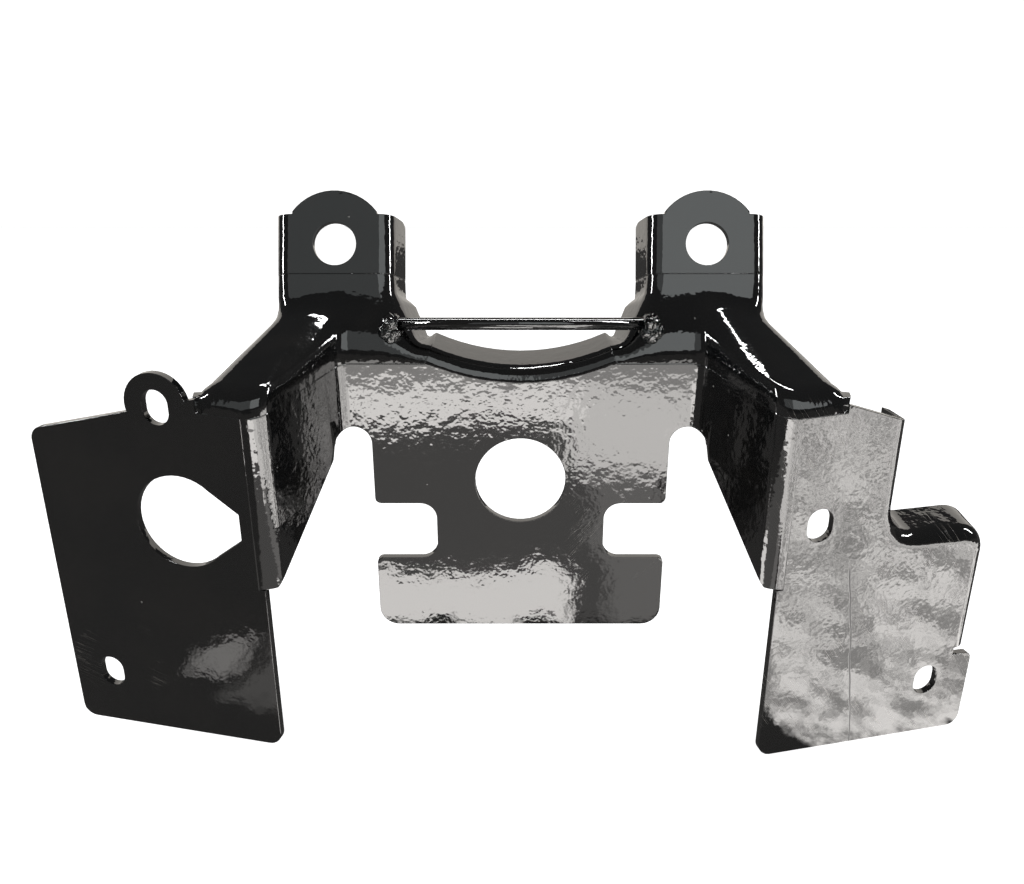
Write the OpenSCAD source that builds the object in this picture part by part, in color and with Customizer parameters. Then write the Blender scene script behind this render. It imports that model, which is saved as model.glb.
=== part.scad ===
// Gauge bracket pressed from one steel sheet, with a welded brace rod between its two lugs.
// Millimetres. X runs to the right, Y to the back, Z up. The origin is the centre of the
// middle hole, on the front face of the centre plate.

/* [Sheet] */
// Thickness of the pressed sheet
sheet_t = 2; // [1.5:0.1:2.5]
// Outside radius of the fold along every rim
rim_r = 4; // [3:0.25:4.5]
// Angle that a rim is folded back through, in degrees
rim_turn = 78; // [70:1:86]
// Depth of a rim, from the face to its back edge
rim_depth = 10.5; // [8:0.5:12]

/* [Centre plate] */
// Width of the centre plate above its notches
plate_w = 73.2; // [70:0.2:75]
// Width of the foot tab below the notches
foot_w = 73.8; // [60:0.2:78]
// Width of the neck between the notches
neck_w = 42.4; // [36:0.2:50]
// Diameter of the middle hole
hole_d = 22.6; // [18:0.2:26]
// Depth of the plate's lower edge under the hole's centre
plate_low = 41.4; // [36:0.2:46]
// Depth of the notches' upper edge under the hole's centre
notch_top = 6.2; // [3:0.2:9]
// Height of each notch
notch_h = 15.3; // [10:0.1:19]
// Radius of the notches' inner corners
notch_r = 4.2; // [2:0.2:5]
// Radius of the foot tab's lower corners
foot_r = 5; // [2:0.2:8]
// Radius of the small outer corners
corner_r = 1.6; // [1:0.1:2.5]

/* [Bow] */
// Radius of the bow's face line between the lugs
bow_r = 55; // [50:1:62]
// Height of the bow's lowest point over the hole's centre
bow_low = 25.4; // [23:0.2:28]

/* [Webs] */
// Half the width between the webs at the centre plate
web_x = 43; // [42:0.2:45]
// Reach of the webs in front of the centre plate
web_reach = 25; // [20:0.5:30]
// Sideways run of a web over its reach
web_splay = 14; // [11:0.5:16]
// Height of the relief between the centre plate and a web
relief_top = 14.4; // [12:0.2:18]
// Radius of the relief's upper corners
relief_r = 4.4; // [2:0.2:4.8]
// Depth of a web's lowest point under the hole's centre
web_low = 17; // [12:0.5:22]
// Inside radius of the fold from the centre plate to a web
heel_r = 4; // [3:0.5:5]
// Outside radius of the fold from a web to its wing
nose_r = 5; // [4:0.5:6]

/* [Wings] */
// Angle that the wings sweep back, in degrees
wing_sweep = 13; // [8:1:18]
// Radius of the wings' corners
wing_r = 3.4; // [2:0.2:5]
// Gap between a wing's inner edge and the fold's corner line
wing_inset = 2.4; // [1.5:0.1:3.5]
// Width of the slots for the M6 screws
slot_w = 6.4; // [5.4:0.2:7]
// Length of the slots
slot_len = 8.2; // [7.4:0.2:9]
// Length of the left wing, from the fold's corner line
left_len = 58; // [54:0.5:62]
// Depth of the left wing's lower edge
left_low = 61; // [57:0.5:66]
// Height of the left wing's outer corner
left_top = 18.4; // [15:0.2:20]
// Height of the left wing's upper edge beside the shoulder
left_arm = 28.6; // [27:0.2:30]
// Radius of the ear on the left wing
ear_r = 7.6; // [6.5:0.1:8.2]
// Place of the ear's centre along the left wing
ear_s = 24.4; // [23:0.2:27]
// Height of the ear's centre
ear_z = 26.4; // [24:0.2:28]
// Distance from the ear's centre down to the centre of its slot
ear_slot_drop = 0.4; // [0:0.1:0.6]
// Place of the lower slot along the left wing
left_slot_s = 47.6; // [44:0.2:49]
// Height of the left wing's lower slot
left_slot_z = -46.2; // [-48:0.2:-40]
// Diameter of the switch hole in the left wing
switch_d = 23; // [20:0.5:25]
// Place of the switch hole along the left wing
switch_s = 21.8; // [20:0.2:24]
// Height of the switch hole's centre
switch_z = -1.6; // [-4:0.2:2]
// Distance from the switch hole's centre to its flat
switch_flat = 14.8; // [13:0.2:16]
// Length of the switch hole's flat
switch_flat_len = 6.6; // [5:0.2:8]
// Length of the right wing, from the fold's corner line
right_len = 59.4; // [56:0.5:63]
// Depth of the right wing's lower edge
right_low = 64.4; // [60:0.4:68]
// Height of the right wing's upper edge at the arm
right_top = 27.4; // [26:0.2:29]
// Fall of that edge over each millimetre outwards
arm_fall = 0.33; // [0.2:0.01:0.4]
// Place of the upper slot along the right wing
right_slot_s = 11.4; // [10.6:0.2:14]
// Height of the right wing's upper slot
right_slot_z = -1.4; // [-4:0.2:8]
// Place of the lower slot along the right wing
right_low_slot_s = 47.2; // [40:0.2:49]
// Height of the right wing's lower slot
right_low_slot_z = -48.8; // [-54:0.2:-46]
// Distance from the fold's corner line to the right wing's standing rim
step_s = 27; // [25:0.5:30]
// Depth of the right wing's lying rim
step_z = -10.4; // [-13:0.2:-8]
// Radius of the corner between the two rims
step_r = 11; // [8:0.5:13]
// Fold radius where the rim turns down the right wing's outer edge
tail_r = 3; // [2:0.2:4]
// Length of the rim down the right wing's outer edge
tail_len = 27; // [20:1:30]
// Depth of that rim at its lower end
tail_depth = 3; // [2:0.2:5]
// Height of the small gap under that end
tail_gap = 2; // [1:0.2:3]

/* [Shoulders] */
// Height of the shoulders' lower edge at the centre plate
shoulder_z = 30.5; // [29.5:0.25:31.5]
// Fall of that edge over each millimetre of reach
shoulder_fall = 0.22; // [0.15:0.01:0.28]
// Length of each side of the shoulders' folds
shoulder_fold = 4.6; // [3.5:0.1:5]
// Length of the shoulder along the wing, from the fold's corner line
shoulder_s = 10.5; // [9:0.5:12]
// Angle that the inner rim opens by, where it turns up from the bow
rim_flare = 20; // [10:1:24]
// Width of the outer rim where it runs out into the wing
run_out = 2.6; // [2:0.2:3.5]

/* [Lugs] */
// Distance between the lugs' holes
lug_pitch = 89; // [87:0.5:91]
// Diameter of the lugs' holes
lug_hole_d = 10.2; // [8:0.2:11]
// Width of a lug's flat face
lug_flat = 20.6; // [19:0.2:22]
// Angle that the lugs lean back, in degrees
lug_lean = 20; // [14:1:26]
// Setback of the lugs' foot behind the centre plate
lug_y = 6; // [4:0.5:8]
// Height of the lugs' foot
lug_z = 44; // [42:0.5:46]
// Distance from the foot to the hole, along the lug
lug_hole_up = 13.9; // [13:0.1:16]
// Radius of the lugs' rounded head
lug_head_r = 12.7; // [11.5:0.1:14]
// Distance from the foot to the top of the lugs' rims
lug_rim_up = 21; // [18:0.5:23]
// Radius of the rims' top corners
lug_rim_r = 3; // [1:0.5:4]

/* [Brace rod] */
// Diameter of the brace rod
rod_d = 3; // [2.5:0.1:4]
// Half the rod's length
rod_half = 31.5; // [30:0.25:33]
// Height of the rod's axis
rod_z = 39.7; // [38:0.1:41]
// Gap between the rod and the shoulders that it lies on
rod_gap = 0.1; // [0.05:0.05:0.3]
// Radius of the weld beads
weld_r = 1.9; // [1.6:0.1:2.4]

/* [Hidden] */

$fn = 64;
eps = 0.01;
big = 200;
paint = [0.035, 0.035, 0.04];

// Plan of the right half: front face lines of the centre plate, the web and the wing
web_turn = atan2(web_reach, web_splay);
nose_turn = web_turn + wing_sweep;
heel_tan = heel_r * tan(web_turn / 2);
nose_tan = nose_r * tan(nose_turn / 2);
web_dir = [cos(web_turn), -sin(web_turn)];
wing_dir = [cos(wing_sweep), sin(wing_sweep)];
heel = [web_x, 0];
nose = [web_x + web_splay, -web_reach];
web_len = norm(nose - heel);
heel_c = [web_x - heel_tan, -heel_r];
nose_c = nose + nose_tan * wing_dir + nose_r * [-wing_dir[1], wing_dir[0]];

// Bow between the lugs
bow_c = bow_low + bow_r;
bow_end = acos((bow_c - shoulder_z) / bow_r);
bow_x = bow_r * sin(bow_end);

// Rim section
rim_arc = rim_r * rim_turn * PI / 180;
rim_leg = (rim_depth - rim_r * (1 - cos(rim_turn))) / sin(rim_turn);

// Flat end of the outer rim, where it has run out into the wing
run_tail = run_out / 2;

// Outer edge of the right wing: its fold line, and the height of its rim's lower end
tail_s = right_len - rim_r * sin(rim_turn) - rim_leg * cos(rim_turn);
tail_z = step_z - tail_r - tail_len;

// Lug
lug_x = lug_pitch / 2;
lug_foot_in = 2.4;
lug_foot_out = -2;
lug_start = 6.6;
lug_fold_gap = 0.8;
lug_up = [0, sin(lug_lean), cos(lug_lean)];

// Spread of the switch hole's sides past the lines that touch its circle, in degrees
switch_spread = 8;

// Lumps of a weld bead: x, y, z and radius, each as a share of weld_r
weld_lumps = [[-0.5, 0, 0.15, 1.2], [0.2, -0.1, -0.9, 1.05], [-0.9, -0.1, -1, 1],
    [-0.3, -0.3, -1.7, 0.8]];

// Facets of the shoulders
plate_steps = 6;
bend_steps = 6;
web_steps = 6;
wing_steps = 2;
fold_steps = 5;

// Laps inside the sheet: the faceted shoulders run on into the plain panels, thinner by tuck on
// each face, and the panels stop short of the shoulders' first full row by lap
tuck = 0.04;
tuck_len = 1;
lap = 0.2;
lap_turn = lap / bow_r * 180 / PI;

// Helpers for points and directions
function unit(v) = v / norm(v);
function mix(a, b, t) = a + (b - a) * t;
function bend(a, b, c, t) = mix(mix(a, b, t), mix(b, c, t), t);

// Stations along the front line of a shoulder: x, y and the direction of the plan there
stations = concat(
    [for (i = [0 : plate_steps]) [mix(bow_x, heel_c[0], i / plate_steps), 0, 0]],
    [for (i = [1 : bend_steps]) let (a = web_turn * i / bend_steps)
        [heel_c[0] + heel_r * sin(a), heel_c[1] + heel_r * cos(a), -a]],
    [for (i = [1 : web_steps])
        let (p = heel + web_dir * mix(heel_tan, web_len - nose_tan, i / web_steps))
        [p[0], p[1], -web_turn]],
    [for (i = [1 : bend_steps]) let (a = -web_turn + nose_turn * i / bend_steps)
        [nose_c[0] + nose_r * sin(a), nose_c[1] - nose_r * cos(a), a]],
    [for (i = [1 : wing_steps])
        let (p = nose + wing_dir * mix(nose_tan, shoulder_s, i / wing_steps))
        [p[0], p[1], wing_sweep]]
);
last = len(stations) - 1;

function edge_z(y) = shoulder_z + shoulder_fall * min(y, 0);
function run(i) = i == 0 ? 0 : run(i - 1) + norm([stations[i][0] - stations[i - 1][0],
    stations[i][1] - stations[i - 1][1]]);
runs = [for (i = [0 : last]) run(i)];

// One column of a shoulder, from the front line up to the lug
function rise(i) = mix(bow_end, 90, min(1, i / (plate_steps - 1)));
function lug_point(u, w) = [lug_x + lug_flat * (u - 0.5), lug_y, lug_z] + lug_up * w;
function column(i) =
    let (s = stations[i],
        u = runs[i] / runs[last],
        low = [s[0], s[1], edge_z(s[1])],
        up = [cos(rise(i)) * cos(s[2]), cos(rise(i)) * sin(s[2]), sin(rise(i))],
        front = low + up * shoulder_fold,
        foot = lug_point(u, mix(lug_foot_in, lug_foot_out, u)),
        slope = unit(foot - front))
    concat(
        [low - up * tuck_len],
        [for (j = [0 : fold_steps]) bend(low, front, front + slope * shoulder_fold, j / fold_steps)],
        [for (j = [0 : fold_steps]) bend(foot - slope * shoulder_fold, foot,
            foot + lug_up * (lug_start - lug_foot_in - lug_fold_gap), j / fold_steps)],
        [lug_point(u, lug_start), lug_point(u, lug_start + tuck_len)]
    );
columns = [for (i = [0 : last]) column(i)];
top = len(columns[0]) - 1;

// Seat of the brace rod: where it would lie on column i's slope, and where its end does lie
function slope_at(i, z) = let (a = columns[i][fold_steps + 1], b = columns[i][fold_steps + 2])
    mix(a, b, (z - a[2]) / (b[2] - a[2]));
function seat_y(i) = let (a = columns[i][fold_steps + 1], b = columns[i][fold_steps + 2])
    slope_at(i, rod_z)[1] - (rod_d / 2 + rod_gap) / cos(atan2(b[1] - a[1], b[2] - a[2]));
rod_share = (rod_half - slope_at(0, rod_z)[0]) / (slope_at(1, rod_z)[0] - slope_at(0, rod_z)[0]);
rod_y = mix(seat_y(0), seat_y(1), max(0, min(1, rod_share)));

// Directions at a point of the shoulder: along the column, and out of the face
function along(i, j) = j <= 1 ? unit([cos(rise(i)) * cos(stations[i][2]),
        cos(rise(i)) * sin(stations[i][2]), sin(rise(i))])
    : j >= top - 1 ? lug_up
    : unit(columns[i][j + 1] - columns[i][j - 1]);
function across(i, j) = unit(columns[min(i + 1, last)][j] - columns[max(i - 1, 0)][j]);
function out(i, j) = j <= 1 ? [sin(stations[i][2]), -cos(stations[i][2]), 0]
    : j >= top - 1 ? [0, -cos(lug_lean), sin(lug_lean)]
    : unit(cross(across(i, j), along(i, j)));

// A point of the rim section at share q of its fold, then at the end of its leg.
// side is 1 for the outer rim and -1 for the inner one, back is the depth under the face
function rim_point(i, j, side, turn, arc, leg, q, back) =
    let (o = side * cross(along(i, j), out(i, j)),
        a = turn * min(q, 1),
        rad = turn < 1 ? 1 : turn * PI / 180,
        reach = arc * min(q, 1) * (turn < 1 ? 1 : sin(a) / max(rad * min(q, 1), eps)),
        drop = arc * min(q, 1) * (turn < 1 ? 0 : (1 - cos(a)) / max(rad * min(q, 1), eps)),
        tail = q > 1 ? leg : 0)
    columns[i][j] + o * (reach + tail * cos(a)) - out(i, j) * (drop + tail * sin(a))
        - back * (out(i, j) * cos(a) + o * sin(a));

// How far the outer rim is folded at row j, from flat at the wing to full at the lug
function curl(j) = let (q = min(1, max(0, j - 1) / (fold_steps + 2))) q * q * (3 - 2 * q);
function thin(j) = j <= 1 || j >= top - 1 ? tuck : 0;
function flared(j) = rim_turn
    - rim_flare * sin(180 * min(1, max(0, j - 1) / (fold_steps + 3)));
function inner_rim(j, q, back) = rim_point(0, j, -1, flared(j), rim_arc, rim_leg - thin(j), q, back);
function outer_rim(j, q, back) = rim_point(last, j, 1, rim_turn * curl(j),
    mix(run_out, rim_arc, curl(j)), mix(run_tail, rim_leg, curl(j)) - thin(j), q, back);
rim_shares = [for (k = [1 : fold_steps]) k / fold_steps];
function row(j, back) = concat(
    [inner_rim(j, 2, back)],
    [for (k = [fold_steps - 1 : -1 : 0]) inner_rim(j, rim_shares[k], back)],
    [for (i = [0 : last]) columns[i][j] - back * out(i, j)],
    [for (k = [0 : fold_steps - 1]) outer_rim(j, rim_shares[k], back)],
    [outer_rim(j, 2, back)]
);

// A closed sheet from a grid of front points and a grid of back points
module thick_grid(front, back) {
    rows = len(front);
    cols = len(front[0]);
    shift = rows * cols;
    function at(r, c) = r * cols + c;
    function quad(a, b, c, d) = [[a, b, c], [a, c, d]];
    faces = concat(
        [for (r = [0 : rows - 2], c = [0 : cols - 2])
            each quad(at(r, c), at(r + 1, c), at(r + 1, c + 1), at(r, c + 1))],
        [for (r = [0 : rows - 2], c = [0 : cols - 2])
            each quad(shift + at(r, c), shift + at(r, c + 1),
                shift + at(r + 1, c + 1), shift + at(r + 1, c))],
        [for (c = [0 : cols - 2])
            each quad(at(0, c), at(0, c + 1), shift + at(0, c + 1), shift + at(0, c))],
        [for (c = [0 : cols - 2])
            each quad(at(rows - 1, c + 1), at(rows - 1, c),
                shift + at(rows - 1, c), shift + at(rows - 1, c + 1))],
        [for (r = [0 : rows - 2])
            each quad(at(r + 1, 0), at(r, 0), shift + at(r, 0), shift + at(r + 1, 0))],
        [for (r = [0 : rows - 2])
            each quad(at(r, cols - 1), at(r + 1, cols - 1),
                shift + at(r + 1, cols - 1), shift + at(r, cols - 1))]
    );
    polyhedron(points = concat([for (g = front) each g], [for (g = back) each g]), faces = faces);
}

// The right shoulder, from the centre plate, web and wing up to the lug
module shoulder() {
    thick_grid([for (j = [0 : top]) row(j, thin(j))], [for (j = [0 : top]) row(j, sheet_t - thin(j))]);
}

// A piece of ring between two angles
module ring_piece(r_in, r_out, from, to) {
    reach = r_out * 2;
    intersection() {
        difference() {
            circle(r_out);
            circle(r_in);
        }
        polygon([[0, 0], reach * [cos(from), sin(from)],
            reach * [cos((from + to) / 2), sin((from + to) / 2)], reach * [cos(to), sin(to)]]);
    }
}

// Rim section: X is the distance out from the fold's start, Y is the depth behind the face
module rim_section(flat) {
    translate([-flat, 0])
        square([flat + eps, sheet_t]);
    translate([0, rim_r])
        ring_piece(rim_r - sheet_t, rim_r, -90, rim_turn - 90);
    translate([rim_r * sin(rim_turn), rim_r * (1 - cos(rim_turn))])
        rotate(rim_turn)
            square([rim_leg, sheet_t]);
}

// Plan of the folded strip: beside the centre plate, the heel fold, the web and the nose fold,
// then a thinner lap that ends inside the wing
strip_end = plate_steps + bend_steps * 2 + web_steps;
function strip_point(i, depth) = [stations[i][0], stations[i][1]]
    + depth * [-sin(stations[i][2]), cos(stations[i][2])];
function wing_point(s, depth) = nose + wing_dir * s + depth * [-wing_dir[1], wing_dir[0]];
function strip_side(depth, lap_depth) = concat(
    [[plate_w / 2, depth]],
    [for (i = [plate_steps : strip_end]) strip_point(i, depth)],
    [wing_point(nose_tan + lap * 2, lap_depth), wing_point(nose_tan + tuck_len, lap_depth)]
);

module strip_plan() {
    front = strip_side(0, tuck);
    back = strip_side(sheet_t, sheet_t - tuck);
    polygon(concat(front, [for (i = [len(back) - 1 : -1 : 0]) back[i]]));
}

// The strip's upright folds and panels, cut to the web's outline
module strip() {
    difference() {
        translate([0, 0, -web_low])
            linear_extrude(shoulder_z + web_low)
                strip_plan();
        shoulder_cut();
        relief_cut();
        web_cut();
    }
}

// Space over the shoulder's lower edge
module shoulder_cut() {
    translate([0, 0, shoulder_z - lap])
        rotate([atan(shoulder_fall), 0, 0])
            translate([0, sheet_t - big, 0])
                cube(big);
    translate([0, -eps, shoulder_z - lap])
        cube(big);
}

// Relief that frees the centre plate's side from the web
module relief_cut() {
    translate([0, sheet_t + eps, 0])
        rotate([90, 0, 0])
            linear_extrude(heel_r + sheet_t * 2)
                relief_outline();
}

module relief_outline() {
    translate([plate_w / 2, -big])
        square([relief_r * 2, big + relief_top - relief_r]);
    translate([plate_w / 2 + relief_r, relief_top - relief_r])
        circle(relief_r);
}

// Space under the web's sloping lower edge
module web_cut() {
    start = [relief_r * 2 + plate_w / 2 - web_x, relief_top - relief_r];
    run_past = 1.2;
    end = mix(start, [web_len - nose_tan / 2, -web_low], run_past);
    translate([heel[0], heel[1], 0])
        rotate([0, 0, -web_turn])
            translate([0, sheet_t * 2, 0])
                rotate([90, 0, 0])
                    linear_extrude(sheet_t * 3)
                        polygon([[-relief_r, start[1]], start, end, [end[0], -big], [-relief_r, -big]]);
}

// Outline of the centre plate below the shoulders, both halves
module plate_outline() {
    difference() {
        translate([-plate_w / 2, -notch_top])
            square([plate_w, notch_top + shoulder_z - lap]);
        for (side = [-1, 1])
            translate([side * (plate_w / 2 - corner_r), corner_r - notch_top])
                corner_bite(side, -1, corner_r);
    }
    translate([-neck_w / 2, -notch_top - notch_h])
        square([neck_w, notch_h + eps]);
    for (edge = [0, 1]) {
        translate([neck_w / 2, -notch_top - notch_h * edge])
            inner_fillet(edge == 0 ? -1 : 1, notch_r);
        mirror([1, 0])
            translate([neck_w / 2, -notch_top - notch_h * edge])
                inner_fillet(edge == 0 ? -1 : 1, notch_r);
    }
    difference() {
        translate([-foot_w / 2, -plate_low])
            square([foot_w, plate_low - notch_top - notch_h]);
        for (side = [-1, 1]) {
            translate([side * (foot_w / 2 - foot_r), foot_r - plate_low])
                corner_bite(side, -1, foot_r);
            translate([side * (foot_w / 2 - corner_r), -notch_top - notch_h - corner_r])
                corner_bite(side, 1, corner_r);
        }
    }
}

// What rounding takes off a square corner: the corner's square less a quarter disc
module corner_bite(sx, sy, r) {
    difference() {
        translate([sx > 0 ? 0 : -r - eps, sy > 0 ? 0 : -r - eps])
            square(r + eps);
        circle(r);
    }
}

// What fills an inner corner: a square less a quarter disc, to the right, up or down by sy
module inner_fillet(sy, r) {
    difference() {
        translate([-eps, sy > 0 ? -eps : -r])
            square(r + eps);
        translate([r, sy * r])
            circle(r);
    }
}

module centre_plate() {
    lap_end = bow_end - lap_turn * 2;
    translate([0, sheet_t, 0])
        rotate([90, 0, 0])
            linear_extrude(sheet_t)
                difference() {
                    plate_outline();
                    circle(d = hole_d);
                    translate([0, bow_c])
                        intersection() {
                            circle(bow_r + sheet_t / 3, $fn = 128);
                            polygon([[0, 0], -bow_r * 2 * [sin(lap_end), cos(lap_end)],
                                bow_r * 2 * [sin(lap_end), -cos(lap_end)]]);
                        }
                }
}

// Folded rim along the bow
module bow_rim() {
    translate([0, 0, bow_c])
        rotate([90, 0, 0])
            mirror([0, 0, 1])
                rotate([0, 0, lap_turn - 90 - bow_end])
                    rotate_extrude(angle = (bow_end - lap_turn) * 2, $fn = 128)
                        translate([bow_r, 0])
                            mirror([1, 0])
                                rim_section(sheet_t);
}

// A wing's own frame: X along the wing from the fold's corner line, Y up, front face at Z = 0
module wing_frame() {
    translate([nose[0], nose[1], 0])
        rotate([0, 0, wing_sweep])
            rotate([90, 0, 0])
                mirror([0, 0, 1])
                    children();
}

module slot_outline(length, width) {
    for (end = [-1, 1])
        translate([0, end * (length - width) / 2])
            circle(d = width);
    square([width, length - width], center = true);
}

// Upper edge of a wing under the shoulder, and the place where the shoulder's rim ends
function wing_edge_z(s) = edge_z(nose[1] + wing_dir[1] * s) - lap;
arm_s = shoulder_s + run_out + run_tail + lap;

// A wing's panel below its upper edge, which slopes from the arm to the outer corner
module wing_panel(length, low, arm_z, outer_z) {
    slope = atan2(arm_z - outer_z, length - arm_s);
    start = nose_tan + lap;
    difference() {
        polygon([[wing_inset, -low], [length, -low], [length, outer_z], [arm_s, arm_z],
            [arm_s, wing_edge_z(arm_s)], [start, wing_edge_z(start)], [start, -web_low - lap],
            [wing_inset, -web_low - lap]]);
        translate([wing_inset + wing_r, wing_r - low])
            corner_bite(-1, -1, wing_r);
        translate([length - wing_r, wing_r - low])
            corner_bite(1, -1, wing_r);
        translate([length - wing_r, outer_z - wing_r * tan((90 - slope) / 2) - eps])
            intersection() {
                corner_bite(1, 1, wing_r);
                square(wing_r * 2);
            }
    }
}

// Left wing: an ear with a slot at the top, the switch hole and a second slot
module left_wing() {
    tangent = acos(switch_d / 2 / switch_flat) + switch_spread;
    linear_extrude(sheet_t)
        difference() {
            union() {
                wing_panel(left_len, left_low, left_arm, left_top);
                translate([ear_s, ear_z])
                    circle(ear_r);
            }
            translate([ear_s, ear_z - ear_slot_drop])
                slot_outline(slot_len, slot_w);
            translate([left_slot_s, left_slot_z])
                slot_outline(slot_len, slot_w);
            translate([switch_s, switch_z]) {
                circle(d = switch_d);
                polygon([[-switch_flat, switch_flat_len / 2], [-switch_flat, -switch_flat_len / 2],
                    -switch_d / 2 * [cos(tangent), sin(tangent)],
                    switch_d / 2 * [-cos(tangent), sin(tangent)]]);
            }
        }
}

// Right wing: two slots, and a folded rim round its stepped upper edge
module right_wing() {
    linear_extrude(sheet_t)
        difference() {
            right_outline();
            translate([right_slot_s, right_slot_z])
                slot_outline(slot_len, slot_w);
            translate([right_low_slot_s, right_low_slot_z])
                slot_outline(slot_len, slot_w);
        }
    right_rim();
}

// Flat face of the right wing, inside its rims' fold lines
module right_outline() {
    difference() {
        wing_panel(tail_s, right_low, step_z, step_z);
        translate([tail_s - tail_r, step_z - tail_r])
            corner_bite(1, 1, tail_r);
    }
    polygon([[shoulder_s, step_z - eps], [step_s, step_z - eps],
        [step_s, right_top - arm_fall * (step_s - arm_s)], [arm_s, right_top],
        [arm_s, wing_edge_z(arm_s)], [shoulder_s, 0]]);
    translate([step_s, step_z])
        inner_fillet(1, step_r);
    translate([tail_s - wing_r * 2, -right_low])
        difference() {
            square([right_len - tail_s + wing_r * 2, right_low + tail_z - tail_gap]);
            translate([right_len - tail_s + wing_r, wing_r])
                corner_bite(1, -1, wing_r);
            translate([right_len - tail_s + wing_r * 2 - corner_r,
                right_low + tail_z - tail_gap - corner_r])
                corner_bite(1, 1, corner_r);
        }
}

// The rim: down the arm, round the step's inner corner, outwards, and down the outer edge
module right_rim() {
    difference() {
        translate([step_s, right_top, 0])
            rotate([90, 0, 0])
                linear_extrude(right_top - step_z - step_r)
                    rim_section(corner_r);
        translate([arm_s, right_top, -eps])
            rotate([0, 0, -atan(arm_fall)])
                cube(big);
    }
    translate([step_s + step_r, step_z + step_r, 0])
        rotate([0, 0, 180])
            rotate_extrude(angle = 90)
                translate([step_r, 0])
                    mirror([1, 0])
                        rim_section(corner_r);
    translate([step_s + step_r, step_z, 0])
        rotate([90, 0, 90])
            linear_extrude(tail_s - tail_r - step_s - step_r)
                rim_section(corner_r);
    translate([tail_s - tail_r, step_z - tail_r, 0])
        rotate_extrude(angle = 90)
            translate([tail_r, 0])
                rim_section(corner_r);
    difference() {
        translate([tail_s, step_z - tail_r, 0])
            rotate([90, 0, 0])
                linear_extrude(tail_len)
                    rim_section(corner_r);
        translate([0, tail_z, tail_depth])
            rotate([atan2(rim_depth + sheet_t - tail_depth, tail_len), 0, 0])
                translate([0, -big / 2, 0])
                    cube(big);
    }
}

// A lug: channel section with a round head, in its own leaning frame
module lug() {
    translate([lug_x, lug_y, lug_z])
        rotate([-lug_lean, 0, 0])
            difference() {
                union() {
                    translate([0, 0, lug_start + lap])
                        linear_extrude(lug_rim_up - lug_start - lap)
                            channel_section();
                    intersection() {
                        translate([0, sheet_t, lug_hole_up])
                            rotate([90, 0, 0])
                                cylinder(r = lug_head_r, h = sheet_t);
                        translate([lap - lug_flat / 2, -lap, lug_start + lap * 2])
                            cube([lug_flat - lap * 2, sheet_t + lap * 2, lug_rim_up + lug_head_r]);
                    }
                }
                translate([-lug_flat, 0, 0])
                    rotate([90, 0, 90])
                        linear_extrude(lug_flat * 2)
                            translate([rim_depth + sheet_t * cos(rim_turn) - lug_rim_r,
                                lug_rim_up - lug_rim_r])
                                corner_bite(1, 1, lug_rim_r);
                translate([0, -eps, lug_hole_up])
                    rotate([-90, 0, 0])
                        cylinder(d = lug_hole_d, h = sheet_t + 2 * eps);
            }
}

module channel_section() {
    translate([-lug_flat / 2, 0])
        square([lug_flat, sheet_t]);
    translate([lug_flat / 2, 0])
        rim_section(eps);
    mirror([1, 0])
        translate([lug_flat / 2, 0])
            rim_section(eps);
}

module both_sides() {
    children();
    mirror([1, 0, 0])
        children();
}

// The pressed sheet, one piece
module bracket_sheet() {
    color(paint) {
        centre_plate();
        bow_rim();
        both_sides() {
            strip();
            shoulder();
            lug();
        }
        wing_frame()
            right_wing();
        mirror([1, 0, 0])
            wing_frame()
                left_wing();
    }
}

module brace_rod() {
    color(paint)
        translate([-rod_half, rod_y, rod_z])
            rotate([0, 90, 0])
                cylinder(d = rod_d, h = rod_half * 2);
}

// The lumpy bead round the rod's right end, less what it is laid on
module weld_bead() {
    difference() {
        translate([rod_half, rod_y, rod_z]) {
            for (lump = weld_lumps)
                translate(weld_r * [lump[0], lump[1], lump[2]])
                    sphere(weld_r * lump[3]);
        }
        shoulder();
        translate([0, rod_y, rod_z])
            rotate([0, 90, 0])
                cylinder(d = rod_d, h = rod_half);
    }
}

module weld_left() {
    color(paint)
        mirror([1, 0, 0])
            weld_bead();
}

module weld_right() {
    color(paint)
        weld_bead();
}

bracket_sheet();
brace_rod();
weld_left();
weld_right();
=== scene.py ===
"""Looks of the gauge bracket: one pressed sheet in gloss black paint, with a welded brace rod."""
import math

import bpy
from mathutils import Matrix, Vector
from mathutils.bvhtree import BVHTree


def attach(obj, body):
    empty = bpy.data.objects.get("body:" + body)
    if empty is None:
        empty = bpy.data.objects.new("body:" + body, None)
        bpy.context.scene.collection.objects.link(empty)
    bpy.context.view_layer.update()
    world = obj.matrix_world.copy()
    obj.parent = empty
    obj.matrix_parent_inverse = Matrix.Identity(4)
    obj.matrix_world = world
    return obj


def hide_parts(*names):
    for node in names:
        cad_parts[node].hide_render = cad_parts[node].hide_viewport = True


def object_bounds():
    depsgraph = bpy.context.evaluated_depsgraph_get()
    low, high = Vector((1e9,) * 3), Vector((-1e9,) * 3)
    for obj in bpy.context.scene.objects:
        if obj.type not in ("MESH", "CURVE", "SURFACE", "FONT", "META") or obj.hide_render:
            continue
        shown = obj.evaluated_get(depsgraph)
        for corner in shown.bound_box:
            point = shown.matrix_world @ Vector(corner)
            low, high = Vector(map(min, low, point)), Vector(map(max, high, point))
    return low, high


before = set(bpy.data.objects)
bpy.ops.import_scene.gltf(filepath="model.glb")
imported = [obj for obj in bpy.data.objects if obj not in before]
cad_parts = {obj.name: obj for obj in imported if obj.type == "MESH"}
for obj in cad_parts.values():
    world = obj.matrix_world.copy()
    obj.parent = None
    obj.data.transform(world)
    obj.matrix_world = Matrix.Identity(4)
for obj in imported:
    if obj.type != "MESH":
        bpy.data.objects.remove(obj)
cad_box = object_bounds()

# Sizes, in metres unless a comment says otherwise

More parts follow.
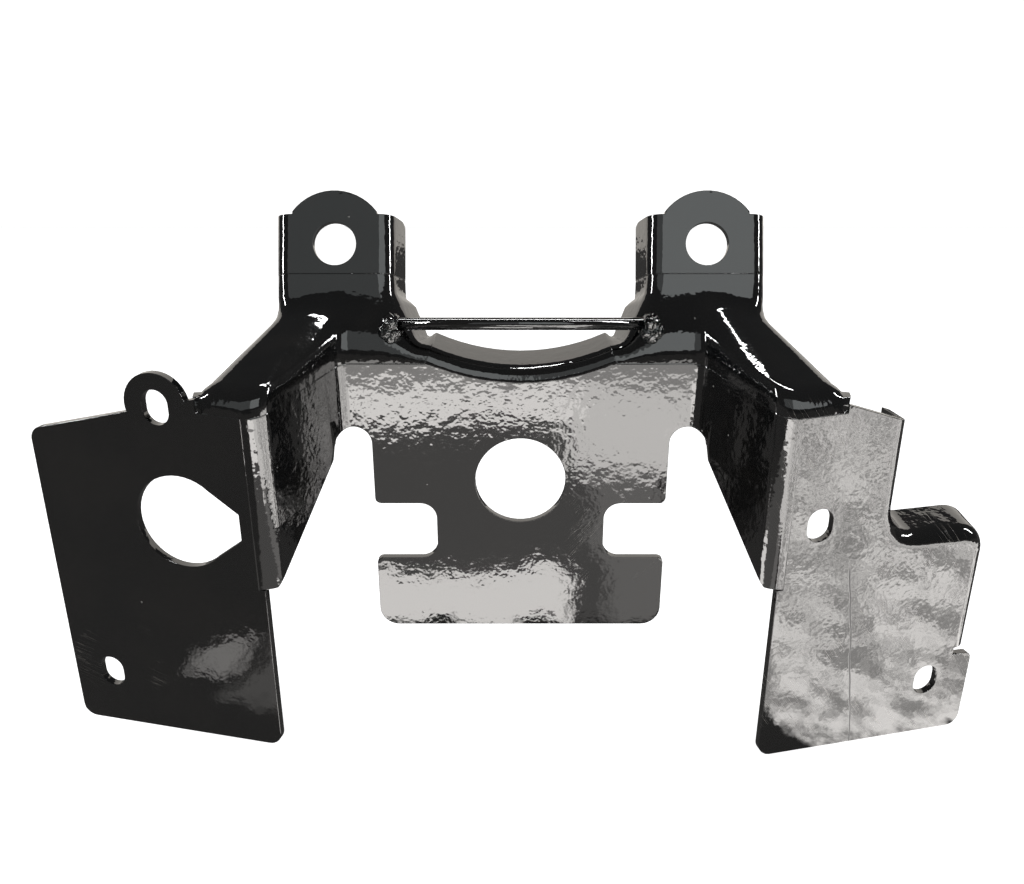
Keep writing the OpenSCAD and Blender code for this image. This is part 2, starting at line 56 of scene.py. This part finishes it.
MM = 0.001
MERGE_WITHIN = 0.002 * MM
EDGE_WIDTH = 0.16 * MM
EDGE_SEGMENTS = 2
# Edges sharper than this are rounded, and folds gentler than the next are shaded smooth, in degrees
EDGE_ANGLE = 50
FOLD_ANGLE = 32
ROD_ANGLE = 40
BEAD_VOXEL = 0.14 * MM
BEAD_RIPPLE = 0.7 * MM
BEAD_RIPPLE_LENGTH = 0.9 * MM
BEAD_SMOOTHING = 5

# The camera: its place, its turn up from straight down in degrees, its sensor's width in
# millimetres, and its focal length in pixels of a picture of this width
CAMERA_AT = Vector((-2.125, -210.76, 91.35)) * MM
CAMERA_TILT = 69
SENSOR = 36
IMAGE_WIDTH = 1024
FOCAL_PIXELS = 918

# Areas of the sheet that are scratched, as ranges of X and Z
RIGHT_WING = ((0.056, 0.12), (-0.066, 0.03))
PLATE_RIGHT = ((0.01, 0.038), (-0.043, 0.005))
LEFT_FOOT = ((-0.115, -0.085), (-0.055, -0.03))
AREA_FADE = 0.004

# The long scratch: its upper end, its run outwards over each metre down, and its area
SCRATCH_TOP_X = 0.077
SCRATCH_TOP_Z = -0.011
SCRATCH_LEAN = 0.1346
SCRATCH_AREA = ((0.06, 0.1), (-0.07, SCRATCH_TOP_Z))

# The paint's index of refraction, and the depth of its orange peel
PAINT_IOR = 2.0
PEEL_DEPTH = 0.0003

# The stage: the floor's glow in reflections away from its glowing patches, the dim surroundings, the
# floor's white to the camera, how far the floor lies under the object, and its size
FLOOR_DARK = 0.12
SURROUNDINGS = 0.06
FLOOR_WHITE = 0.97
FLOOR_DROP = 0.0002
FLOOR_SIZE = 6


def only(obj):
    """Leaves nothing but obj selected and active."""
    bpy.ops.object.select_all(action="DESELECT")
    obj.select_set(True)
    bpy.context.view_layer.objects.active = obj


def copy_of(node, name):
    """A merged copy of a CAD node's mesh, as a piece of its own."""
    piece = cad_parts[node].copy()
    piece.data = piece.data.copy()
    piece.name = piece.data.name = name
    piece.data.materials.clear()
    for group in list(piece.users_collection):
        group.objects.unlink(piece)
    bpy.context.scene.collection.objects.link(piece)
    piece.parent = None
    only(piece)
    bpy.ops.object.mode_set(mode="EDIT")
    bpy.ops.mesh.select_all(action="SELECT")
    bpy.ops.mesh.remove_doubles(threshold=MERGE_WITHIN)
    bpy.ops.object.mode_set(mode="OBJECT")
    return piece


def apply_modifier(piece, kind, **settings):
    """Adds a modifier with these settings and applies it."""
    modifier = piece.modifiers.new(kind.lower(), kind)
    for key, value in settings.items():
        setattr(modifier, key, value)
    bpy.ops.object.modifier_apply(modifier=modifier.name)


def soften(piece):
    """Rounds the sharp edges, as thick paint does, and shades the folds smooth.
    A point that the rounding throws off the sheet goes back to the nearest place on it."""
    only(piece)
    surface = BVHTree.FromObject(piece, bpy.context.evaluated_depsgraph_get())
    apply_modifier(piece, "BEVEL", width=EDGE_WIDTH, segments=EDGE_SEGMENTS, limit_method="ANGLE",
                   angle_limit=math.radians(EDGE_ANGLE), use_clamp_overlap=False)
    for vertex in piece.data.vertices:
        nearest, _, _, distance = surface.find_nearest(vertex.co)
        if distance > EDGE_WIDTH / 2:
            vertex.co = nearest
    bpy.ops.object.shade_smooth_by_angle(angle=math.radians(FOLD_ANGLE))
    apply_modifier(piece, "WEIGHTED_NORMAL", mode="FACE_AREA", weight=100, keep_sharp=True)


def melt(piece):
    """Runs a weld bead's lumps together and makes them uneven."""
    only(piece)
    apply_modifier(piece, "REMESH", mode="VOXEL", voxel_size=BEAD_VOXEL)
    ripple = bpy.data.textures.new("ripple_" + piece.name, "CLOUDS")
    ripple.noise_scale = BEAD_RIPPLE_LENGTH
    apply_modifier(piece, "DISPLACE", texture=ripple, texture_coords="LOCAL", mid_level=0.5,
                   strength=BEAD_RIPPLE)
    apply_modifier(piece, "SMOOTH", iterations=BEAD_SMOOTHING)
    bpy.ops.object.shade_smooth()


class Tree:
    """A node tree with short calls for the nodes that the paint and the stage use."""

    def __init__(self, tree):
        self.tree = tree

    def add(self, kind, **values):
        """A node with these settings, or these values on its inputs."""
        node = self.tree.nodes.new(kind)
        for key, value in values.items():
            if hasattr(node, key):
                setattr(node, key, value)
            else:
                node.inputs[key].default_value = value
        return node

    def join(self, a, b):
        self.tree.links.new(a, b)

    def fill(self, sockets, values):
        """Joins each output to its socket, and sets each plain value on its socket."""
        for socket, value in zip(sockets, values):
            if isinstance(value, (tuple, int, float)):
                socket.default_value = value
            else:
                self.join(value, socket)

    def maths(self, op, *values):
        node = self.add("ShaderNodeMath", operation=op)
        self.fill(node.inputs, values)
        return node.outputs[0]

    def rest_of(self, value):
        """One less a value."""
        return self.maths("SUBTRACT", 1.0, value)

    def step(self, value, low, high):
        """Nothing below low, one above high, and a smooth rise between."""
        node = self.add("ShaderNodeMapRange", interpolation_type="SMOOTHSTEP", clamp=True)
        self.join(value, node.inputs["Value"])
        node.inputs["From Min"].default_value = low
        node.inputs["From Max"].default_value = high
        return node.outputs["Result"]

    def noise(self, where, scale, detail=2.0, rough=0.5, warp=0.0):
        node = self.add("ShaderNodeTexNoise", Scale=scale, Detail=detail, Roughness=rough,
                        Distortion=warp)
        self.join(where, node.inputs["Vector"])
        return node.outputs["Fac"]

    def mix(self, share, a, b):
        """A colour between a and b. A Mix node keeps its colour sockets at 6 and 7."""
        node = self.add("ShaderNodeMix", data_type="RGBA")
        self.fill((node.inputs[0], node.inputs[6], node.inputs[7]), (share, a, b))
        return node.outputs[2]

    def choose(self, share, first, second):
        """The first shader, or the second where share is one."""
        node = self.add("ShaderNodeMixShader")
        self.fill(node.inputs, (share, first, second))
        return node.outputs[0]

    def place(self):
        """Object coordinates, and the node that gives them one by one."""
        where = self.add("ShaderNodeTexCoord").outputs["Object"]
        parts = self.add("ShaderNodeSeparateXYZ")
        self.join(where, parts.inputs[0])
        return where, parts


def new_material(name):
    material = bpy.data.materials.new(name)
    material.use_nodes = True
    material.node_tree.nodes.clear()
    tree = Tree(material.node_tree)
    out = tree.add("ShaderNodeOutputMaterial")
    return material, tree, out


def scratch_group():
    """Fine straight scratches: thin lines of one direction, broken up along their length."""
    group = bpy.data.node_groups.new("fine_scratches", "ShaderNodeTree")
    face = group.interface
    face.new_socket("Vector", in_out="INPUT", socket_type="NodeSocketVector")
    face.new_socket("Turn", in_out="INPUT", socket_type="NodeSocketFloat")
    face.new_socket("Lines", in_out="INPUT", socket_type="NodeSocketFloat")
    face.new_socket("Mask", in_out="OUTPUT", socket_type="NodeSocketFloat")
    tree = Tree(group)
    given = tree.add("NodeGroupInput")
    out = tree.add("NodeGroupOutput")
    turn = tree.add("ShaderNodeVectorRotate", rotation_type="Y_AXIS")
    tree.join(given.outputs["Vector"], turn.inputs["Vector"])
    tree.join(given.outputs["Turn"], turn.inputs["Angle"])
    parts = tree.add("ShaderNodeSeparateXYZ")
    tree.join(turn.outputs["Vector"], parts.inputs[0])
    stretch = 22.0
    line = tree.add("ShaderNodeCombineXYZ")
    tree.join(tree.maths("MULTIPLY", parts.outputs["X"], given.outputs["Lines"]), line.inputs["X"])
    tree.join(tree.maths("MULTIPLY", parts.outputs["Z"], stretch), line.inputs["Z"])
    thin = tree.noise(line.outputs[0], 1.0, 2.0, 0.6)
    near = tree.maths("ABSOLUTE", tree.maths("SUBTRACT", thin, 0.5))
    sharp = tree.rest_of(tree.step(near, 0.002, 0.009))
    broken = tree.step(tree.noise(turn.outputs["Vector"], 70.0, 2.0), 0.52, 0.6)
    tree.join(tree.maths("MULTIPLY", sharp, broken), out.inputs["Mask"])
    return group


def product(tree, values):
    """All the values multiplied together."""
    result = values[0]
    for value in values[1:]:
        result = tree.maths("MULTIPLY", result, value)
    return result


def area(tree, parts, x_range, z_range):
    """One inside a range of X and Z, fading to nothing at its edges."""
    sides = []
    for axis, (low, high) in (("X", x_range), ("Z", z_range)):
        value = parts.outputs[axis]
        sides.append(tree.step(value, low, low + AREA_FADE))
        sides.append(tree.rest_of(tree.step(value, high - AREA_FADE, high)))
    return product(tree, sides)


def long_scratch(tree, where, parts):
    """The thin upright scratch down the right wing, from its middle to its lower edge."""
    drop = tree.maths("SUBTRACT", SCRATCH_TOP_Z, parts.outputs["Z"])
    line = tree.maths("MULTIPLY_ADD", drop, SCRATCH_LEAN, SCRATCH_TOP_X)
    wobble = tree.maths("MULTIPLY_ADD", tree.noise(where, 120.0, 3.0), 1.2 * MM, -0.6 * MM)
    off = tree.maths("SUBTRACT", tree.maths("ADD", parts.outputs["X"], wobble), line)
    thin = tree.rest_of(tree.step(tree.maths("ABSOLUTE", off), 0.1 * MM, 0.28 * MM))
    return tree.maths("MULTIPLY", thin, area(tree, parts, *SCRATCH_AREA))


def specks(tree, where):
    """Dust specks and small pits: a few cells of a fine pattern, each with a dot in it."""
    dots = tree.add("ShaderNodeTexVoronoi", feature="F1", Scale=420.0)
    tree.join(where, dots.inputs["Vector"])
    few = tree.add("ShaderNodeTexWhiteNoise", noise_dimensions="3D")
    tree.join(dots.outputs["Position"], few.inputs["Vector"])
    chosen = tree.maths("GREATER_THAN", few.outputs["Value"], 0.97)
    near = tree.rest_of(tree.step(dots.outputs["Distance"], 0.05, 0.14))
    return tree.maths("MULTIPLY", chosen, near)


def fine_marks(tree, where, parts, scratched):
    """Where the fine scratches are. Each entry has a turn, a count, a strength and an area."""
    marks = None
    for turn, count, share, x_range, z_range in scratched:
        mark = tree.add("ShaderNodeGroup", node_tree=SCRATCHES)
        tree.join(where, mark.inputs["Vector"])
        mark.inputs["Turn"].default_value = math.radians(turn)
        mark.inputs["Lines"].default_value = count
        part = tree.maths("MULTIPLY", mark.outputs["Mask"], share)
        part = tree.maths("MULTIPLY", part, area(tree, parts, x_range, z_range))
        marks = part if marks is None else tree.maths("MAXIMUM", marks, part)
    return marks


def paint(name, peel, scratched=()):
    """Gloss black paint: orange peel, small pits and dust specks, and scratches where it is worn."""
    material, tree, out = new_material(name)
    where, parts = tree.place()
    shine = tree.add("ShaderNodeBsdfPrincipled", Metallic=0.0, IOR=PAINT_IOR)
    tree.join(shine.outputs[0], out.inputs["Surface"])

    patches = tree.noise(where, 45.0, 3.0, 0.6, 0.4)
    speck = specks(tree, where)
    black = tree.mix(tree.step(patches, 0.35, 0.7),
                     (0.005, 0.0055, 0.006, 1), (0.011, 0.0105, 0.01, 1))
    colour = tree.mix(speck, black, (0.5, 0.5, 0.47, 1))
    rough = tree.maths("MULTIPLY_ADD", patches, 0.05, 0.03)
    coarse = tree.noise(where, 330.0, 2.0, 0.55)
    fine = tree.noise(where, 900.0, 1.0, 0.5)
    height = tree.maths("MULTIPLY_ADD", fine, 0.2, coarse)
    height = tree.maths("MULTIPLY_ADD", speck, 0.6, height)
    if scratched:
        marks = fine_marks(tree, where, parts, scratched)
        colour = tree.mix(marks, colour, (0.35, 0.33, 0.3, 1))
        rough = tree.maths("MULTIPLY_ADD", marks, 0.4, rough)
        deep = long_scratch(tree, where, parts)
        rough = tree.maths("MULTIPLY_ADD", deep, 0.6, rough)
        height = tree.maths("MULTIPLY_ADD", deep, -1.5, height)
    tree.join(colour, shine.inputs["Base Color"])
    tree.join(rough, shine.inputs["Roughness"])
    bump = tree.add("ShaderNodeBump", Strength=peel, Distance=PEEL_DEPTH)
    tree.join(height, bump.inputs["Height"])
    tree.join(bump.outputs[0], shine.inputs["Normal"])
    return material


SCRATCHES = scratch_group()
BLACK = paint("gloss_black", 0.28, (
    (35, 900, 0.7, *RIGHT_WING),
    (-40, 1100, 0.5, *PLATE_RIGHT),
    (70, 800, 0.4, *LEFT_FOOT),
))
BEAD = paint("weld_black", 0.1)

# The pieces

sheet = copy_of("bracket_sheet", "pressed_sheet")
soften(sheet)
sheet.data.materials.append(BLACK)
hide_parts("bracket_sheet")
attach(sheet, "root")

rod = copy_of("brace_rod", "brace_rod_painted")
rod.data.materials.append(BLACK)
only(rod)
bpy.ops.object.shade_smooth_by_angle(angle=math.radians(ROD_ANGLE))
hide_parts("brace_rod")
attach(rod, "root")

for side in ("left", "right"):
    bead = copy_of("weld_" + side, "weld_bead_" + side)
    bead.data.materials.append(BEAD)
    melt(bead)
    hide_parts("weld_" + side)
    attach(bead, "root")


def seen_white(tree, out, glow, others, camera_white):
    """White to the camera, glow to glossy rays, and others to the rest.
    The lamps' light is added to the white, so the object's shadow is too faint to see."""
    path = tree.add("ShaderNodeLightPath")
    unseen = tree.choose(path.outputs["Is Glossy Ray"], others, glow)
    plain = tree.add("ShaderNodeEmission", Strength=camera_white)
    shade = tree.add("ShaderNodeBsdfDiffuse", Color=(0.8, 0.8, 0.8, 1))
    white = tree.add("ShaderNodeAddShader")
    tree.fill(white.inputs, (plain.outputs[0], shade.outputs[0]))
    tree.join(tree.choose(path.outputs["Is Camera Ray"], unseen, white.outputs[0]),
              out.inputs["Surface"])


def floor_material():
    """A pale floor that glows in patches, dim between them, to glossy rays only: painted
    reflections.
    """
    material, tree, out = new_material("floor_white")
    where, parts = tree.place()
    ragged = tree.maths("MULTIPLY_ADD", tree.noise(where, 26.0, 4.0, 0.7), 0.06, -0.03)
    x = tree.maths("ADD", parts.outputs["X"], tree.maths("MULTIPLY", ragged, 0.5))
    y = tree.maths("ADD", parts.outputs["Y"], ragged)
    reflection_blots = tree.step(tree.noise(where, 55.0, 5.0, 0.75), 0.4, 0.6)
    mottled_reflection = tree.maths("MULTIPLY_ADD", reflection_blots, 3.2, 1.6)

    def patch(left, right, near, far, level, soft=0.012):
        """A patch from left to right and from near to far, at a level, with soft edges."""
        return product(tree, (
            level,
            tree.step(x, left, left + soft),
            tree.step(y, near, near + soft),
            tree.rest_of(tree.step(x, right - soft, right)),
            tree.rest_of(tree.step(y, far - soft, far)),
        ))

    glow = FLOOR_DARK
    for shape in (
        # Painted reflections that the centre plate mirrors: its grey top, the pale band, the foot,
        # its dim middle
        patch(-0.15, 0.15, -0.5, -0.27, 1.7),
        patch(-0.1, 0.04, -0.3, -0.215, 5.5),
        patch(0.015, 0.1, -0.3, -0.15, 4.2),
        patch(-0.07, 0.02, -0.075, -0.035, 5.0, 0.006),
        patch(-0.1, 0.07, -0.24, -0.03, 0.45),
        patch(0.02, 0.07, -0.16, -0.03, 0.9),
        # Painted reflections that the right wing mirrors, and the one blot mirrored in the dark left
        # wing
        patch(0.072, 0.4, -0.3, -0.002, mottled_reflection, 0.004),
        patch(-0.116, -0.094, -0.066, -0.042, 1.1, 0.008),
    ):
        glow = tree.maths("MAXIMUM", glow, shape)
    shown = tree.add("ShaderNodeEmission", Color=(1.0, 0.97, 0.94, 1))
    tree.join(glow, shown.inputs["Strength"])
    matt = tree.add("ShaderNodeBsdfDiffuse", Color=(0.8, 0.8, 0.8, 1))
    seen_white(tree, out, shown.outputs[0], matt.outputs[0], FLOOR_WHITE)
    return material


def card_material(name, level, colour):
    """A card that glows only to glossy rays, at a level: a painted reflection in the gloss paint."""
    material, tree, out = new_material(name)
    shown = tree.add("ShaderNodeEmission", Strength=level, Color=colour)
    dark = tree.add("ShaderNodeBsdfDiffuse", Color=(0.02, 0.02, 0.02, 1))
    seen_white(tree, out, shown.outputs[0], dark.outputs[0], 1.0)
    return material


def stage_plane(name, at, size, material):
    """A flat square that isn't part of the object."""
    bpy.ops.object.select_all(action="DESELECT")
    bpy.ops.mesh.primitive_plane_add(size=size, location=at)
    plane = bpy.context.object
    plane.name = name
    plane.data.materials.append(material)
    return plane


def card(name, low, high, level, colour):
    """An upright card that faces along Y, between two corners."""
    centre = [(a + b) / 2 for a, b in zip(low, high)]
    plane = stage_plane(name, centre, 1, card_material(name, level, colour))
    plane.rotation_euler = (math.pi / 2, 0, 0)
    plane.scale = (high[0] - low[0], high[2] - low[2], 1)


stage_plane("floor", (0, 0, cad_box[0][2] - FLOOR_DROP), FLOOR_SIZE, floor_material())
# Cards that glow only to glossy rays: painted reflections in the gloss paint
card("back_card", (-1.2, 0.9, -0.06), (1.2, 0.9, 0.9), 1.0, (1, 0.95, 0.88, 1))
card("front_card_left", (-0.9, -0.9, 0.15), (0.0, -0.9, 0.8), 0.35, (0.95, 1, 1, 1))
card("front_card_right", (0.0, -0.9, 0.15), (0.9, -0.9, 0.8), 1.0, (0.95, 1, 1, 1))


def surroundings():
    """White to the camera and dim to the rest, so that the paint stays black between the cards."""
    world = bpy.data.worlds.new("studio")
    bpy.context.scene.world = world
    world.use_nodes = True
    world.node_tree.nodes.clear()
    sky = Tree(world.node_tree)
    out = sky.add("ShaderNodeOutputWorld")
    white = sky.add("ShaderNodeBackground", Strength=1.0, Color=(1, 1, 1, 1))
    dim = sky.add("ShaderNodeBackground", Strength=SURROUNDINGS, Color=(1, 1, 1, 1))
    path = sky.add("ShaderNodeLightPath")
    sky.join(sky.choose(path.outputs["Is Camera Ray"], dim.outputs[0], white.outputs[0]),
             out.inputs["Surface"])


def panel(name, at, size, power):
    """A soft studio panel that faces the object."""
    lamp = bpy.data.lights.new(name, "AREA")
    lamp.shape = "RECTANGLE"
    lamp.size, lamp.size_y = size
    lamp.energy = power
    holder = bpy.data.objects.new(name, lamp)
    bpy.context.scene.collection.objects.link(holder)
    holder.location = at
    holder.rotation_euler = (-Vector(at)).to_track_quat("-Z", "Y").to_euler()


surroundings()
panel("overhead", (0.05, 0.1, 0.9), (0.5, 0.04), 2.5)
panel("left_strip", (-0.8, -0.1, 0.35), (0.05, 0.4), 2.5)
panel("right_strip", (0.8, -0.05, 0.4), (0.05, 0.4), 2.5)

lens = bpy.data.cameras.new("view")
lens.sensor_width = SENSOR
lens.lens = FOCAL_PIXELS / IMAGE_WIDTH * SENSOR
lens.clip_start = 0.01
camera = bpy.data.objects.new("view", lens)
camera.location = CAMERA_AT
camera.rotation_euler = (math.radians(CAMERA_TILT), 0, 0)
bpy.context.scene.collection.objects.link(camera)
bpy.context.scene.camera = camera
bpy.context.scene.view_settings.view_transform = "Standard"
